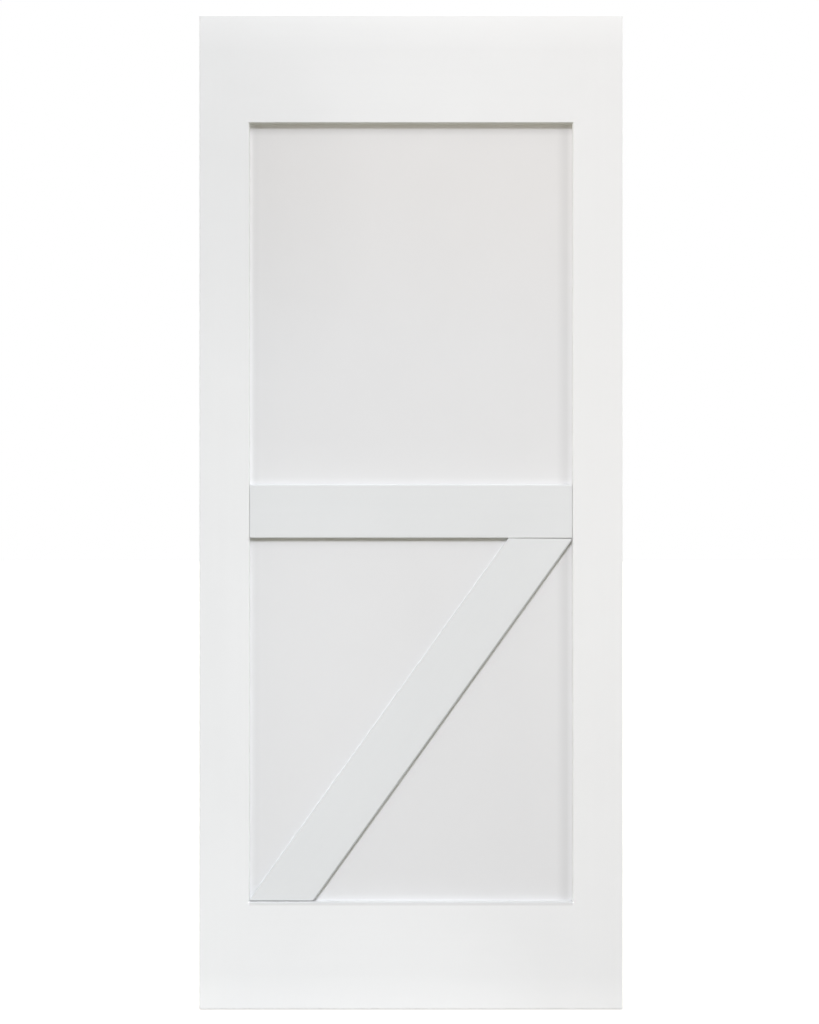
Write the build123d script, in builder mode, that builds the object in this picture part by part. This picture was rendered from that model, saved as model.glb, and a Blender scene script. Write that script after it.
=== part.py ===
from build123d import *
from math import asin, atan2, hypot, sin, tan
import os

# Interior barn door slab: a stile-and-rail frame round one flat panel, with a cross bar and a
# diagonal brace planted on each face of the panel.
# The origin is at the middle of the bottom edge, +Z is up and the front faces -Y. Millimetres.

# Slab
door_height = 2134.0
door_width = 908.0
door_thickness = 35.0
eased_edge = 1.5

# Stiles and rails
stile_width = 107.0
top_rail_width = 232.6
bottom_rail_width = 231.0
rim_chamfer = 2.6
groove_depth = 12.0
tenon_end_gap = 0.5

# Panel
panel_thickness = 12.0
panel_face_clearance = 0.15
panel_edge_gap = 1.5

# Cross bars and braces
bar_width = 114.5
bar_thickness = 8.0
bar_chamfer = 1.0
bar_end_gap = 0.9
cross_bar_centre = 1068.5
brace_tip_trim = 3.0
brace_foot_gap = 1.8
brace_head_gap_inner = 0.2
brace_head_gap_outer = 1.0

# Dowels, three to a corner joint
dowel_radius = 5.0
dowel_length = 110.0
dowel_end_chamfer = 1.0
dowel_clearance = 0.1
dowel_end_gap = 1.5
dowel_height_shares = (0.22, 0.5, 0.78)
flute_count = 8
flute_side = 0.8

# Groove in the bottom edge for a floor guide
guide_groove_width = 7.0
guide_groove_depth = 18.0

# How far a cutting shape runs past what it cuts
overrun = 5.0

# Sizes that follow from the ones above
opening_width = door_width - 2 * stile_width
opening_bottom = bottom_rail_width
opening_top = door_height - top_rail_width
opening_height = opening_top - opening_bottom
opening_centre = (opening_top + opening_bottom) / 2
wall_x = opening_width / 2
groove_width = panel_thickness + 2 * panel_face_clearance
groove_bottom_x = wall_x + groove_depth
panel_inset = groove_depth - panel_edge_gap
tenon_length = groove_depth - tenon_end_gap
dowel_hole_depth = dowel_length / 2 + dowel_end_gap


def dowel_heights(rail_bottom, rail_width):
    return [rail_bottom + share * rail_width for share in dowel_height_shares]


top_dowel_heights = dowel_heights(opening_top, top_rail_width)
bottom_dowel_heights = dowel_heights(0, bottom_rail_width)

# Outline of the finished slab, with its edges eased
with BuildPart() as slab_outline:
    Box(door_width, door_thickness, door_height, align=(Align.CENTER, Align.CENTER, Align.MIN))
    chamfer(slab_outline.edges(), eased_edge)

# Bevel that eases the rim of the recess on both faces of the frame
with BuildPart() as rim_cutter:
    for depth, growth in ((-rim_chamfer, 0), (overrun, rim_chamfer + overrun)):
        with BuildSketch(Plane.XZ.offset(door_thickness / 2 + depth)):
            with Locations((0, opening_centre)):
                Rectangle(opening_width + 2 * growth, opening_height + 2 * growth)
    loft()
    mirror(about=Plane.XZ)

# Floor-guide groove, right across the slab
with BuildPart() as guide_cutter:
    with BuildSketch(Plane.YZ):
        Rectangle(guide_groove_width, 2 * guide_groove_depth)
    extrude(amount=door_width / 2 + overrun, both=True)

# Right stile: grooved along its inner edge, and bored for the dowels at the bottom of that groove
with BuildPart() as right_stile:
    with BuildSketch():
        with Locations((door_width / 2, 0)):
            Rectangle(stile_width, door_thickness, align=(Align.MAX, Align.CENTER))
        with Locations((wall_x, 0)):
            Rectangle(2 * groove_depth, groove_width, mode=Mode.SUBTRACT)
    extrude(amount=door_height)
    add(slab_outline.part, mode=Mode.INTERSECT)
    add(rim_cutter.part, mode=Mode.SUBTRACT)
    add(guide_cutter.part, mode=Mode.SUBTRACT)
    for height in top_dowel_heights + bottom_dowel_heights:
        with Locations(Plane(origin=(groove_bottom_x, 0, height), z_dir=(-1, 0, 0))):
            Hole(dowel_radius + dowel_clearance, dowel_hole_depth)

# Left stile: the mirror image of the right one
with BuildPart() as left_stile:
    mirror(right_stile.part, about=Plane.YZ)


# A rail lies between the stiles, has the panel groove in its inner edge, and stub tenons in the
# stiles' grooves. Upward is 1 for the rail above the panel and -1 for the one below it.
def make_rail(inner_edge, rail_width, upward, bore_heights):
    panel_side = Align.MIN if upward > 0 else Align.MAX
    tenon_root = inner_edge + upward * groove_depth
    with BuildPart() as rail:
        with BuildSketch(Plane.YZ):
            with Locations((0, inner_edge)):
                Rectangle(door_thickness, rail_width, align=(Align.CENTER, panel_side))
                Rectangle(groove_width, 2 * groove_depth, mode=Mode.SUBTRACT)
        extrude(amount=wall_x, both=True)
        with BuildSketch(Plane.YZ):
            with Locations((0, tenon_root)):
                Rectangle(groove_width, rail_width - groove_depth, align=(Align.CENTER, panel_side))
        extrude(amount=wall_x + tenon_length, both=True)
        add(slab_outline.part, mode=Mode.INTERSECT)
        add(rim_cutter.part, mode=Mode.SUBTRACT)
        add(guide_cutter.part, mode=Mode.SUBTRACT)
        for side in (-1, 1):
            for height in bore_heights:
                mouth = (side * groove_bottom_x, 0, height)
                with Locations(Plane(origin=mouth, z_dir=(side, 0, 0))):
                    Hole(dowel_radius + dowel_clearance, dowel_hole_depth)
    return rail


top_rail = make_rail(opening_top, top_rail_width, 1, top_dowel_heights)
bottom_rail = make_rail(opening_bottom, bottom_rail_width, -1, bottom_dowel_heights)

# Panel: one flat sheet, loose in the grooves on all four sides
with BuildPart() as panel:
    with BuildSketch(Plane.XZ):
        with Locations((0, opening_centre)):
            Rectangle(opening_width + 2 * panel_inset, opening_height + 2 * panel_inset)
    extrude(amount=panel_thickness / 2, both=True)

# Planted boards lie on the panel's front face, and their two long front edges are bevelled
board_plane = Plane.XZ.offset(panel_thickness / 2)

# Cross bar, level across the opening
with BuildPart() as front_cross_bar:
    with BuildSketch(board_plane):
        with Locations((0, cross_bar_centre)):
            Rectangle(opening_width - 2 * bar_end_gap, bar_width)
    extrude(amount=bar_thickness)
    bar_face = front_cross_bar.faces().sort_by(Axis.Y)[0]
    chamfer(bar_face.edges().sort_by(SortBy.LENGTH)[-2:], bar_chamfer)

# Brace, corner to corner of the bay under the cross bar: it reaches a little past the lower left and
# the upper right corner, and its two sharp tips are trimmed upright to clear the stiles
bay_top = cross_bar_centre - bar_width / 2
bay_height = bay_top - opening_bottom
brace_reach = opening_width + 2 * brace_tip_trim
brace_diagonal = hypot(brace_reach, bay_height)
brace_angle = atan2(bay_height, brace_reach) + asin(bar_width / brace_diagonal)
brace_run = bar_width / sin(brace_angle)
brace_foot = opening_bottom + brace_foot_gap
brace_head_inner = bay_top - brace_head_gap_inner
brace_head_outer = bay_top - brace_head_gap_outer


def brace_edge_x(height):
    return (height - opening_bottom) / tan(brace_angle) - brace_reach / 2


with BuildPart() as front_brace:
    with BuildSketch(board_plane):
        with BuildLine():
            Polyline(
                (brace_edge_x(brace_foot), brace_foot),
                (brace_edge_x(brace_foot) + brace_run, brace_foot),
                (brace_edge_x(brace_head_outer) + brace_run, brace_head_outer),
                (brace_edge_x(brace_head_inner), brace_head_inner),
                close=True,
            )
        make_face()
        with Locations((0, opening_centre)):
            Rectangle(opening_width - 2 * bar_end_gap, opening_height, mode=Mode.INTERSECT)
    extrude(amount=bar_thickness)
    brace_face = front_brace.faces().sort_by(Axis.Y)[0]
    chamfer(brace_face.edges().sort_by(SortBy.LENGTH)[-2:], bar_chamfer)

# The same two boards on the back, lined up with those on the front
with BuildPart() as back_cross_bar:
    mirror(front_cross_bar.part, about=Plane.XZ)

with BuildPart() as back_brace:
    mirror(front_brace.part, about=Plane.XZ)


# Fluted dowels of one corner joint, half in the rail and half in the stile on the right
def make_dowels(heights):
    start = Plane.YZ.offset(groove_bottom_x - dowel_length / 2)
    centres = [(0, height) for height in heights]
    with BuildPart() as dowels:
        with BuildSketch(start):
            with Locations(*centres):
                Circle(dowel_radius)
        extrude(amount=dowel_length)
        chamfer(dowels.edges().filter_by(GeomType.CIRCLE), dowel_end_chamfer)
        with BuildSketch(start):
            with Locations(*centres):
                with PolarLocations(dowel_radius, flute_count):
                    Rectangle(flute_side, flute_side, rotation=45)
        extrude(amount=dowel_length, mode=Mode.SUBTRACT)
    return dowels


top_right_dowels = make_dowels(top_dowel_heights)
bottom_right_dowels = make_dowels(bottom_dowel_heights)

with BuildPart() as top_left_dowels:
    mirror(top_right_dowels.part, about=Plane.YZ)

with BuildPart() as bottom_left_dowels:
    mirror(bottom_right_dowels.part, about=Plane.YZ)

# One file for each piece
os.makedirs("parts", exist_ok=True)

left_stile.part.label = "left_stile"
export_step(left_stile.part, "parts/left_stile.step")

right_stile.part.label = "right_stile"
export_step(right_stile.part, "parts/right_stile.step")

top_rail.part.label = "top_rail"
export_step(top_rail.part, "parts/top_rail.step")

bottom_rail.part.label = "bottom_rail"
export_step(bottom_rail.part, "parts/bottom_rail.step")

panel.part.label = "panel"
export_step(panel.part, "parts/panel.step")

front_cross_bar.part.label = "front_cross_bar"
export_step(front_cross_bar.part, "parts/front_cross_bar.step")

front_brace.part.label = "front_brace"
export_step(front_brace.part, "parts/front_brace.step")

back_cross_bar.part.label = "back_cross_bar"
export_step(back_cross_bar.part, "parts/back_cross_bar.step")

back_brace.part.label = "back_brace"
export_step(back_brace.part, "parts/back_brace.step")

top_left_dowels.part.label = "top_left_dowels"
export_step(top_left_dowels.part, "parts/top_left_dowels.step")

top_right_dowels.part.label = "top_right_dowels"
export_step(top_right_dowels.part, "parts/top_right_dowels.step")

bottom_left_dowels.part.label = "bottom_left_dowels"
export_step(bottom_left_dowels.part, "parts/bottom_left_dowels.step")

bottom_right_dowels.part.label = "bottom_right_dowels"
export_step(bottom_right_dowels.part, "parts/bottom_right_dowels.step")
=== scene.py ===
import math
from typing import NamedTuple

import bpy
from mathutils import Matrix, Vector


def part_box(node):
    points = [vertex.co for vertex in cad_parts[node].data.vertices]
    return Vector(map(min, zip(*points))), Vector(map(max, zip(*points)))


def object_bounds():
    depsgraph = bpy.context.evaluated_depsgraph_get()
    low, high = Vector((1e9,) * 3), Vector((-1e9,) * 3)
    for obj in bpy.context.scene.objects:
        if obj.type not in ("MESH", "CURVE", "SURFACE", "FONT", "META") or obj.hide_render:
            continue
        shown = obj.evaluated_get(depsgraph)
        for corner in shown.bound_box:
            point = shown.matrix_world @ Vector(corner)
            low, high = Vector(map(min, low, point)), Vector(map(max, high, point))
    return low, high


# Looks of a white painted barn door slab: satin paint over wood on every piece, in soft studio
# light on a white floor. Metres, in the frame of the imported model.

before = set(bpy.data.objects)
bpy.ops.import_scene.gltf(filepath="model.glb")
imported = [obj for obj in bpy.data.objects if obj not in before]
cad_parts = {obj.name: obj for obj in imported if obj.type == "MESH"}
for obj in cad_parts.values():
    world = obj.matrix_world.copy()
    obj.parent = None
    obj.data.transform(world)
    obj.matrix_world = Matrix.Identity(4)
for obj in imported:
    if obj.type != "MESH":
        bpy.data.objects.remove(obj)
cad_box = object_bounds()
scene = bpy.context.scene
scene.view_settings.view_transform = "Standard"

# Places read from the frame
door_low, door_high = cad_box
door_width = door_high.x - door_low.x
door_height = door_high.z - door_low.z
middle = Vector((0, door_low.y, door_low.z + door_height / 2))
brace_low, brace_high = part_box("front_brace")
bar_low, bar_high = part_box("front_cross_bar")
board_width = bar_high.z - bar_low.z
opening_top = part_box("top_rail")[0].z
opening_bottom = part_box("bottom_rail")[1].z
opening_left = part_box("left_stile")[1].x
opening_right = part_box("right_stile")[0].x

# The brace runs corner to corner of the bay under the bar, with this much cut off each sharp tip
BRACE_TIP_TRIM = 0.0039
brace_reach = brace_high.x - brace_low.x + 2 * BRACE_TIP_TRIM
bay_height = bar_low.z - opening_bottom
brace_diagonal = math.hypot(brace_reach, bay_height)
brace_angle = math.atan2(bay_height, brace_reach) + math.asin(board_width / brace_diagonal)
brace_head_left = brace_high.x + BRACE_TIP_TRIM - board_width / math.sin(brace_angle)

# Colours, linear
WHITE = (1, 1, 1)
FRAME_WHITE = (0.880, 0.884, 0.888)
BOARD_WHITE = (0.789, 0.801, 0.808)
PANEL_WHITE = (0.798, 0.799, 0.807)
BEECH = (0.55, 0.36, 0.20)

# Most of a noise texture's values lie between these two
NOISE_LOW = 0.3
NOISE_HIGH = 0.7

# Fine marks in the paint: noise features per metre, changes of tone and roughness, relief in metres
GRAIN_SCALE = 90
GRAIN_TONE = 0.003
GRAIN_BUMP = 0.00004
STIPPLE_SCALE = 520
STIPPLE_TONE = 0.004
STIPPLE_BUMP = 0.00005
STIPPLE_ROUGHNESS = 0.03
PATCH_SCALE = 9
PATCH_TONE = (0.996, 1.003)
PATCH_ROUGHNESS = (0.42, 0.48)

# Stretch of the noise that draws the grain out along a board, or leaves it even
ALONG_X = (0.03, 1, 1)
ALONG_Z = (1, 1, 0.03)
EVEN = (1, 1, 1)


class Spot(NamedTuple):
    """A soft spot of painted light, or of painted shade where its lift is below 0, placed by shares of the
    door's width and height from its middle.
    """

    centre: tuple
    reach: tuple
    lift: float


# Painted light and shade: darker toward the upper left, the lower right and the top, and soft painted
# spots
ASLANT_PAINTED_SHADE = 0.07
TOP_PAINTED_SHADE = 0.024
TOP_PAINTED_SHADE_END = 0.45
PAINTED_LIGHT_SPOTS = (
    Spot(centre=(-0.35, 0.30), reach=(0.26, 0.17), lift=-0.034),
    Spot(centre=(-0.22, -0.13), reach=(0.25, 0.20), lift=0.025),
    Spot(centre=(0.0, -0.50), reach=(0.32, 0.14), lift=0.034),
    Spot(centre=(0.0, 0.45), reach=(0.32, 0.12), lift=0.014),
    Spot(centre=(0.48, -0.14), reach=(0.22, 0.38), lift=0.024),
)

# Hue: a trace cooler at the lower left, a trace warmer at the upper right, and a warm painted reflection
# at the top of the panel
COOL_TINT = (0.987, 1.002, 0.998)
WARM_TINT = (1.004, 0.999, 0.976)
WARMTH_UPWARD = 0.6
WARMTH_REACH = 0.7
PANEL_TOP_REFLECTION_TINT = (0.997, 0.984, 0.971)
PANEL_TOP_REFLECTION_RANGE = (0.17, 0.33)

# Painted light on the frame: lighter toward its two ends, and over its lowest quarter
FRAME_END = 0.5
END_PAINTED_LIGHT = 0.065
END_PAINTED_LIGHT_START = 0.465
LOW_PAINTED_LIGHT = 0.042
LOW_PAINTED_LIGHT_START = 0.25

# A grey line on the bottom rail, fading out over these distances below its rim
LIP_SHADE = 0.15
LIP_FADE = (0.0052, 0.0092)


class PaintedLightBand(NamedTuple):
    """Painted light and shade along an edge, by the distance from it: one lift turns to the other, which
    then fades out.
    """

    lifts: tuple
    rise: tuple
    fade: tuple


# Bands of painted light and shade on the panel, along the top, right and left of its opening and above the
# bar
TOP_PAINTED_BAND = PaintedLightBand(lifts=(0.10, -0.08), rise=(0.0065, 0.0125), fade=(0.0145, 0.024))
RIGHT_PAINTED_BAND = PaintedLightBand(lifts=(0.048, -0.08), rise=(0.002, 0.012), fade=(0.018, 0.034))
LEFT_PAINTED_BAND = PaintedLightBand(lifts=(-0.02, -0.04), rise=(0.002, 0.009), fade=(0.014, 0.024))
BAR_PAINTED_BAND = PaintedLightBand(lifts=(-0.05, 0.03), rise=(0.0015, 0.006), fade=(0.008, 0.018))

# Painted light on the panel's upper part, near the bar and near the left stile
BAR_PAINTED_LIGHT = (0.034, 0.006)
BAR_PAINTED_LIGHT_REACH = 0.10
LEFT_PAINTED_LIGHT = 0.085
LEFT_PAINTED_LIGHT_REACH = 0.009

# Faces are told apart, for painted shade, by how far they turn to the front or back, and undersides by how
# far they dip
FLAT_FACING = 0.9
BEVEL_FACING = math.sqrt(0.5)
BEVEL_TOLERANCE = 0.1
WALL_FACING = 0.3
UNDERSIDE_DIP = -0.2

# Rims get painted shade only within these shares of the width and height, so the slab's outer edges stay
# plain
INNER_ACROSS = 0.42
INNER_UP = 0.45

# A board's face gets painted shade near its lower edge, fading out over these distances from it
LOWER_EDGE_PAINTED_SHADE_FADE = (0.0015, 0.0045)


class Nodes:
    """Short calls for building a node tree."""

    def __init__(self, tree):
        self.tree = tree

    def put(self, value, socket):
        """Links an output to a socket, or sets the socket to a plain value."""
        if isinstance(value, bpy.types.NodeSocket):
            self.tree.links.new(value, socket)
        else:
            socket.default_value = value

    def add(self, kind, **inputs):
        node = self.tree.nodes.new(kind)
        for name, value in inputs.items():
            self.put(value, node.inputs[name])
        return node

    def calc(self, operation, *values):
        node = self.tree.nodes.new("ShaderNodeMath")
        node.operation = operation
        for value, socket in zip(values, node.inputs):
            self.put(value, socket)
        return node.outputs[0]

    def remap(self, value, low, high, to_low, to_high):
        """Takes low to to_low and high to to_high, and holds those two beyond."""
        node = self.tree.nodes.new("ShaderNodeMapRange")
        node.clamp = True
        self.put(value, node.inputs["Value"])
        self.put(low, node.inputs["From Min"])
        self.put(high, node.inputs["From Max"])
        self.put(to_low, node.inputs["To Min"])
        self.put(to_high, node.inputs["To Max"])
        return node.outputs["Result"]

    def mix(self, factor, first, second, blend="MIX"):
        node = self.tree.nodes.new("ShaderNodeMix")
        node.data_type = "RGBA"
        node.blend_type = blend
        self.put(factor, node.inputs["Factor"])
        self.put(first, node.inputs["A"])
        self.put(second, node.inputs["B"])
        return node.outputs["Result"]

    def seen_directly(self):
        """1 for rays from the camera, from a reflection or through a clear piece, and 0 for the others."""
        path = self.tree.nodes.new("ShaderNodeLightPath")
        seen = path.outputs["Is Camera Ray"]
        for kind in ("Is Glossy Ray", "Is Transmission Ray"):
            seen = self.calc("MAXIMUM", seen, path.outputs[kind])
        return seen


class Surface(Nodes):
    """One material."""

    def __init__(self, name):
        self.material = bpy.data.materials.new(name)
        self.material.use_nodes = True
        super().__init__(self.material.node_tree)
        self.shader = self.tree.nodes["Principled BSDF"]
        self.coordinates = self.tree.nodes.new("ShaderNodeTexCoord").outputs["Object"]

    def set(self, name, value):
        self.put(value, self.shader.inputs[name])

    def noise(self, scale, detail=2.0, stretch=EVEN, turn=0.0):
        """Noise with features of about 1/scale metres, drawn out by stretch, turned about Y."""
        turned = self.add("ShaderNodeMapping", Vector=self.coordinates, Rotation=(0, turn, 0))
        drawn = self.add("ShaderNodeMapping", Vector=turned.outputs[0], Scale=stretch)
        texture = self.add("ShaderNodeTexNoise", Vector=drawn.outputs[0], Scale=scale, Detail=detail)
        return texture.outputs["Fac"]

    def spread(self, noise, low, high):
        """Noise brought to run from low to high."""
        return self.remap(noise, NOISE_LOW, NOISE_HIGH, low, high)

    def set_colour(self, colour, tone):
        """The base colour is a colour times a tone."""
        node = self.tree.nodes.new("ShaderNodeVectorMath")
        node.operation = "SCALE"
        self.put(colour, node.inputs[0])
        self.put(tone, node.inputs["Scale"])
        self.set("Base Color", node.outputs[0])

    def set_bump(self, height):
        """Fine relief, with its height in metres."""
        node = self.add("ShaderNodeBump", Height=height, Strength=1.0, Distance=1.0)
        self.set("Normal", node.outputs[0])


def tinted(colour, tint):
    return (*(part * share for part, share in zip(colour, tint)), 1)


class Paint(Surface):
    """White satin paint with roller stipple, faint grain, a soft uneven tone and painted light and shade,
    changed in steps.
    """

    def __init__(self, name, colour, grain_stretch, grain_turn=0.0, grain=1.0, stipple=1.0):
        super().__init__(name)
        place = self.add("ShaderNodeSeparateXYZ", Vector=self.coordinates)
        self.x = place.outputs["X"]
        self.z = place.outputs["Z"]
        self.across = self.calc("MULTIPLY", self.x, 1 / door_width)
        self.up = self.calc("MULTIPLY", self.calc("SUBTRACT", self.z, middle.z), 1 / door_height)
        self.set_fine_marks(grain_stretch, grain_turn, grain, stipple)
        self.set_painted_broad_light()
        self.set_hue(colour)

    def lift(self, amount):
        self.tone = self.calc("ADD", self.tone, amount)

    def shade(self, amount):
        self.tone = self.calc("SUBTRACT", self.tone, amount)

    def set_fine_marks(self, grain_stretch, grain_turn, grain, stipple):
        """Grain and stipple are the strengths of those marks. This starts the tone."""
        lines = self.noise(GRAIN_SCALE, detail=5, stretch=grain_stretch, turn=grain_turn)
        dots = self.noise(STIPPLE_SCALE, detail=3)
        patches = self.noise(PATCH_SCALE, detail=3)
        self.tone = self.spread(lines, -GRAIN_TONE * grain, GRAIN_TONE * grain)
        self.lift(self.spread(dots, -STIPPLE_TONE * stipple, STIPPLE_TONE * stipple))
        self.lift(self.spread(patches, *PATCH_TONE))
        dots_roughness = self.spread(dots, -STIPPLE_ROUGHNESS, STIPPLE_ROUGHNESS)
        self.set("Roughness", self.calc("ADD", self.spread(patches, *PATCH_ROUGHNESS), dots_roughness))
        dots_height = self.calc("MULTIPLY", dots, STIPPLE_BUMP * stipple)
        self.set_bump(self.calc("ADD", dots_height, self.calc("MULTIPLY", lines, GRAIN_BUMP * grain)))

    # Painted light and shade across the whole door
    def set_painted_broad_light(self):
        aslant = self.calc("SUBTRACT", self.across, self.up)
        self.shade(self.calc("MULTIPLY", self.calc("MULTIPLY", aslant, aslant), ASLANT_PAINTED_SHADE))
        self.shade(self.remap(self.up, 0, TOP_PAINTED_SHADE_END, 0, TOP_PAINTED_SHADE))
        for spot in PAINTED_LIGHT_SPOTS:
            self.lift(self.calc("MULTIPLY", self.inside(spot), spot.lift))

    def inside(self, spot):
        """1 at the spot's centre, falling to 0 at its reach."""
        squares = []
        for place, centre, radius in zip((self.across, self.up), spot.centre, spot.reach):
            offset = self.calc("DIVIDE", self.calc("SUBTRACT", place, centre), radius)
            squares.append(self.calc("MULTIPLY", offset, offset))
        return self.remap(self.calc("ADD", *squares), 0, 1, 1, 0)

    def set_hue(self, colour):
        warmth = self.calc("ADD", self.across, self.calc("MULTIPLY", self.up, WARMTH_UPWARD))
        share = self.remap(warmth, -WARMTH_REACH, WARMTH_REACH, 0, 1)
        self.hue = self.mix(share, tinted(colour, COOL_TINT), tinted(colour, WARM_TINT))

    def paint_reflection_on_panel_top(self):
        share = self.remap(self.up, *PANEL_TOP_REFLECTION_RANGE, 0, 1)
        self.hue = self.mix(share, self.hue, (*PANEL_TOP_REFLECTION_TINT, 1), blend="MULTIPLY")

    # Painted light at the frame's ends and over its lowest quarter
    def paint_light_at_ends(self):
        self.lift(self.remap(self.calc("ABSOLUTE", self.up), END_PAINTED_LIGHT_START, FRAME_END, 0, END_PAINTED_LIGHT))
        self.lift(self.remap(self.up, -FRAME_END, -LOW_PAINTED_LIGHT_START, LOW_PAINTED_LIGHT, 0))

    def shade_lip(self):
        below_rim = self.calc("SUBTRACT", opening_bottom, self.z)
        self.shade(self.remap(below_rim, *LIP_FADE, LIP_SHADE, 0))

    def painted_band_lift(self, distance, band):
        lift = self.remap(distance, *band.rise, *band.lifts)
        return self.calc("MULTIPLY", lift, self.remap(distance, *band.fade, 1, 0))

    # Painted light and shade on the panel near the rims of its opening and above the bar
    def paint_panel_light_and_shade(self):
        above_bar = self.calc("SUBTRACT", self.z, bar_high.z)
        from_left = self.calc("SUBTRACT", self.x, opening_left)
        from_right = self.calc("SUBTRACT", opening_right, self.x)
        from_top = self.calc("SUBTRACT", opening_top, self.z)
        bar_painted_light = self.remap(above_bar, 0, BAR_PAINTED_LIGHT_REACH, *BAR_PAINTED_LIGHT)
        left_painted_light = self.remap(from_left, 0, LEFT_PAINTED_LIGHT_REACH, LEFT_PAINTED_LIGHT, 0)
        painted_light = self.calc("ADD", self.painted_band_lift(above_bar, BAR_PAINTED_BAND), bar_painted_light)
        painted_light = self.calc("ADD", painted_light, left_painted_light)
        self.lift(self.calc("MULTIPLY", self.calc("GREATER_THAN", above_bar, 0), painted_light))
        self.lift(self.painted_band_lift(from_left, LEFT_PAINTED_BAND))
        self.lift(self.painted_band_lift(from_top, TOP_PAINTED_BAND))
        self.lift(self.painted_band_lift(from_right, RIGHT_PAINTED_BAND))

    def read_facing(self):
        """Sets a mask for the flat faces, the walls, the bevels and those bevels that look down."""
        geometry = self.tree.nodes.new("ShaderNodeNewGeometry")
        normal = self.add("ShaderNodeSeparateXYZ", Vector=geometry.outputs["True Normal"])
        facing = self.calc("ABSOLUTE", normal.outputs["Y"])
        dips = self.calc("LESS_THAN", normal.outputs["Z"], UNDERSIDE_DIP)
        self.flat = self.calc("GREATER_THAN", facing, FLAT_FACING)
        self.wall = self.calc("LESS_THAN", facing, WALL_FACING)
        self.bevel = self.calc("COMPARE", facing, BEVEL_FACING, BEVEL_TOLERANCE)
        self.under_bevel = self.calc("MULTIPLY", self.bevel, dips)

    def painted_rim_shade(self, painted_bevel_shade, painted_wall_shade):
        """Painted shade on the bevels and walls. A shade below 0 is painted light that makes them lighter.
        """
        on_bevel = self.calc("MULTIPLY", self.bevel, painted_bevel_shade)
        return self.calc("ADD", on_bevel, self.calc("MULTIPLY", self.wall, painted_wall_shade))

    def lower_edge_painted_shade(self, angle, centre_height, painted_under_shade, painted_face_shade):
        """Painted shade along a board's lower edge: on its bevel, and on the face next to that."""
        aside = self.calc("MULTIPLY", self.x, math.sin(angle))
        above = self.calc("MULTIPLY", self.calc("SUBTRACT", self.z, centre_height), math.cos(angle))
        to_edge = self.calc("SUBTRACT", board_width / 2, self.calc("SUBTRACT", aside, above))
        face_strip_shade = self.calc("MULTIPLY", self.remap(to_edge, *LOWER_EDGE_PAINTED_SHADE_FADE, painted_face_shade, 0), self.flat)
        return self.calc("ADD", self.calc("MULTIPLY", self.under_bevel, painted_under_shade), face_strip_shade)

    def shade_inside(self, amount):
        """Darkens the tone by a painted shade, but not on the slab's outer edges."""
        inner_across = self.calc("LESS_THAN", self.calc("ABSOLUTE", self.across), INNER_ACROSS)
        inner_up = self.calc("LESS_THAN", self.calc("ABSOLUTE", self.up), INNER_UP)
        inner = self.calc("MULTIPLY", inner_across, inner_up)
        self.shade(self.calc("MULTIPLY", amount, inner))

    def finish(self):
        self.set_colour(self.hue, self.tone)
        return self.material


def frame_paint(name, grain_stretch, painted_bevel_shade, painted_wall_shade, with_lip=False):
    """Paint of a stile or a rail, with painted light toward its ends and painted shade on its rim, which
    is painted light where the shade is below 0.
    """
    paint = Paint(name, FRAME_WHITE, grain_stretch)
    paint.paint_light_at_ends()
    if with_lip:
        paint.shade_lip()
    paint.read_facing()
    paint.shade_inside(paint.painted_rim_shade(painted_bevel_shade, painted_wall_shade))
    return paint.finish()


def panel_paint(name):
    """Paint of the smooth panel, with little grain and more stipple, painted light and shade along its
    edges, and a painted reflection on its upper part.
    """
    paint = Paint(name, PANEL_WHITE, EVEN, grain=0.3, stipple=1.4)
    paint.paint_panel_light_and_shade()
    paint.paint_reflection_on_panel_top()
    return paint.finish()


def bar_paint(name):
    """Paint of the cross bars. The painted shade along their lower edge stops at the brace's head."""
    paint = Paint(name, BOARD_WHITE, ALONG_X)
    paint.read_facing()
    bar_middle = (bar_low.z + bar_high.z) / 2
    lower_edge_painted_shade = paint.lower_edge_painted_shade(0, bar_middle, painted_under_shade=0.25, painted_face_shade=0.16)
    left_of_brace = paint.calc("LESS_THAN", paint.x, brace_head_left)
    lower_edge_painted_shade = paint.calc("MULTIPLY", lower_edge_painted_shade, left_of_brace)
    painted_rim_shade = paint.painted_rim_shade(painted_bevel_shade=0.16, painted_wall_shade=0.28)
    paint.shade_inside(paint.calc("ADD", painted_rim_shade, lower_edge_painted_shade))
    return paint.finish()


def brace_paint(name):
    """Paint of the braces, with the grain along their slope and painted shade along their lower edge."""
    paint = Paint(name, BOARD_WHITE, ALONG_X, grain_turn=brace_angle)
    paint.read_facing()
    bay_middle = (opening_bottom + bar_low.z) / 2
    lower_edge_painted_shade = paint.lower_edge_painted_shade(brace_angle, bay_middle, painted_under_shade=0.14, painted_face_shade=0.46)
    painted_rim_shade = paint.painted_rim_shade(painted_bevel_shade=0.20, painted_wall_shade=0.18)
    paint.shade_inside(paint.calc("ADD", painted_rim_shade, lower_edge_painted_shade))
    return paint.finish()


# Beech: noise features per metre, drawn out along the dowels, and the tone, roughness and relief it gives
BEECH_SCALE = 900
BEECH_STRETCH = (0.05, 1, 1)
BEECH_TONE = (0.75, 1.1)
BEECH_ROUGHNESS = (0.7, 0.55)
BEECH_BUMP = 0.0001


def bare_beech(name):
    """Plain beech with its grain along X, for the dowels inside the joints."""
    wood = Surface(name)
    lines = wood.noise(BEECH_SCALE, detail=6, stretch=BEECH_STRETCH)
    wood.set_colour(BEECH, wood.spread(lines, *BEECH_TONE))
    wood.set("Roughness", wood.spread(lines, *BEECH_ROUGHNESS))
    wood.set_bump(wood.calc("MULTIPLY", lines, BEECH_BUMP))
    return wood.material


def cover(material, *node_names):
    for node_name in node_names:
        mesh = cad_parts[node_name].data
        mesh.materials.clear()
        mesh.materials.append(material)


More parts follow.
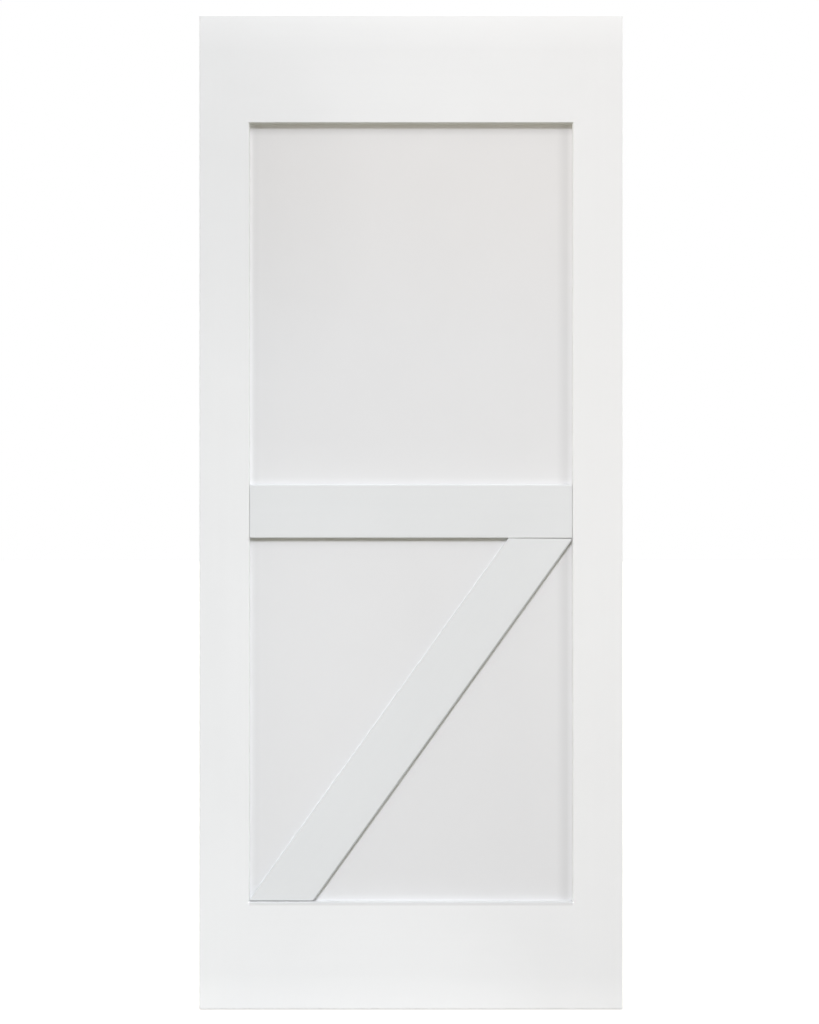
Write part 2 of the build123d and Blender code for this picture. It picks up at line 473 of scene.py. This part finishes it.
# Materials, each on its own pieces
# Rim shades are painted shade on bevels and walls; a value below 0 is painted light
cover(frame_paint("left_stile_paint", ALONG_Z, painted_bevel_shade=0.03, painted_wall_shade=-0.06), "left_stile")
cover(frame_paint("right_stile_paint", ALONG_Z, painted_bevel_shade=-0.10, painted_wall_shade=-0.10), "right_stile")
cover(frame_paint("top_rail_paint", ALONG_X, painted_bevel_shade=0.04, painted_wall_shade=-0.08), "top_rail")
cover(
    frame_paint("bottom_rail_paint", ALONG_X, painted_bevel_shade=0.24, painted_wall_shade=0.14, with_lip=True),
    "bottom_rail",
)
cover(panel_paint("panel_paint"), "panel")
cover(bar_paint("bar_paint"), "front_cross_bar", "back_cross_bar")
cover(brace_paint("brace_paint"), "front_brace", "back_brace")
cover(
    bare_beech("dowel_beech"),
    "top_left_dowels",
    "top_right_dowels",
    "bottom_left_dowels",
    "bottom_right_dowels",
)

# Floor: plain, and pale by a glow that only direct rays see, so the slab's shadow on it stays faint
FLOOR_SIDE = 60.0
FLOOR_GAP = 0.0005
FLOOR_ALBEDO = (0.205, 0.190, 0.140)
FLOOR_SPECULAR = 0.1
FLOOR_ROUGHNESS = (0.85, 0.95)
FLOOR_NOISE_SCALE = 3
FLOOR_GLOW = 0.85
FLOOR_GLOW_TINT = (0.952, 0.957, 1.0)


def floor_white():
    surface = Surface("floor_white")
    surface.set("Base Color", (*FLOOR_ALBEDO, 1))
    surface.set("Roughness", surface.spread(surface.noise(FLOOR_NOISE_SCALE), *FLOOR_ROUGHNESS))
    surface.set("Specular IOR Level", FLOOR_SPECULAR)
    surface.set("Emission Color", (*FLOOR_GLOW_TINT, 1))
    surface.set("Emission Strength", surface.calc("MULTIPLY", surface.seen_directly(), FLOOR_GLOW))
    return surface.material


def make_floor():
    half = FLOOR_SIDE / 2
    corners = [(-half, -half, 0), (half, -half, 0), (half, half, 0), (-half, half, 0)]
    mesh = bpy.data.meshes.new("floor")
    mesh.from_pydata(corners, [], [(0, 1, 2, 3)])
    mesh.materials.append(floor_white())
    floor = bpy.data.objects.new("floor", mesh)
    floor.location.z = door_low.z - FLOOR_GAP
    scene.collection.objects.link(floor)


# World: white to direct rays, and an even, slightly warm grey light on the object
AMBIENT = 0.165
AMBIENT_TINT = (1.04, 1.0, 0.85)


def make_world():
    world = bpy.data.worlds.new("studio")
    world.use_nodes = True
    scene.world = world
    nodes = Nodes(world.node_tree)
    background = world.node_tree.nodes["Background"]
    seen = nodes.seen_directly()
    nodes.put(nodes.remap(seen, 0, 1, AMBIENT, 1), background.inputs["Strength"])
    nodes.put(nodes.mix(seen, (*AMBIENT_TINT, 1), (*WHITE, 1)), background.inputs["Color"])


# The key lamp and the back lamps are a trace cool, so that lit faces look neutral and shadows warm
COOL_LIGHT = (0.908, 0.918, 1.0)


def lamp(name, toward, strength, spread, tint):
    """A far lamp, so its light is even. Toward is the way the light travels, and spread is in degrees."""
    light = bpy.data.lights.new(name, "SUN")
    light.color = tint
    light.energy = strength
    light.angle = math.radians(spread)
    holder = bpy.data.objects.new(name, light)
    holder.rotation_euler = Vector(toward).to_track_quat("-Z", "Y").to_euler()
    scene.collection.objects.link(holder)


def make_lamps():
    """A key above in front, one high on the right, a weak one level on each side, two for the back."""
    lamp("key", toward=(0, 1, -1.03), strength=2.55, spread=21, tint=COOL_LIGHT)
    lamp("high", toward=(-0.9, 1, -2.2), strength=0.81, spread=30, tint=WHITE)
    lamp("right", toward=(-2.35, 1, 0), strength=0.80, spread=30, tint=WHITE)
    lamp("left", toward=(5, 1, 0), strength=0.74, spread=20, tint=WHITE)
    lamp("back", toward=(0.8, -1, -2.0), strength=1.9, spread=16, tint=COOL_LIGHT)
    lamp("back_level", toward=(-0.5, -1, -0.15), strength=1.6, spread=30, tint=COOL_LIGHT)


# Camera, square to the front. The door's height and offsets in the photograph are in its pixels.
PHOTO_HEIGHT = 1024
DOOR_HEIGHT_IN_PHOTO = 994.4
DOOR_MIDDLE_RIGHT_OF_CENTRE = 1.5
DOOR_MIDDLE_BELOW_CENTRE = 0.25
CAMERA_DISTANCE = 3.3
SENSOR_MILLIMETRES = 36.0


def make_camera():
    metres_per_pixel = door_height / DOOR_HEIGHT_IN_PHOTO
    data = bpy.data.cameras.new("camera")
    data.sensor_width = SENSOR_MILLIMETRES
    data.lens = SENSOR_MILLIMETRES * CAMERA_DISTANCE / (PHOTO_HEIGHT * metres_per_pixel)
    camera = bpy.data.objects.new("camera", data)
    camera.location = middle + Vector((
        -DOOR_MIDDLE_RIGHT_OF_CENTRE * metres_per_pixel,
        -CAMERA_DISTANCE,
        DOOR_MIDDLE_BELOW_CENTRE * metres_per_pixel,
    ))
    camera.rotation_euler = (math.pi / 2, 0, 0)
    scene.collection.objects.link(camera)
    scene.camera = camera


make_floor()
make_world()
make_lamps()
make_camera()
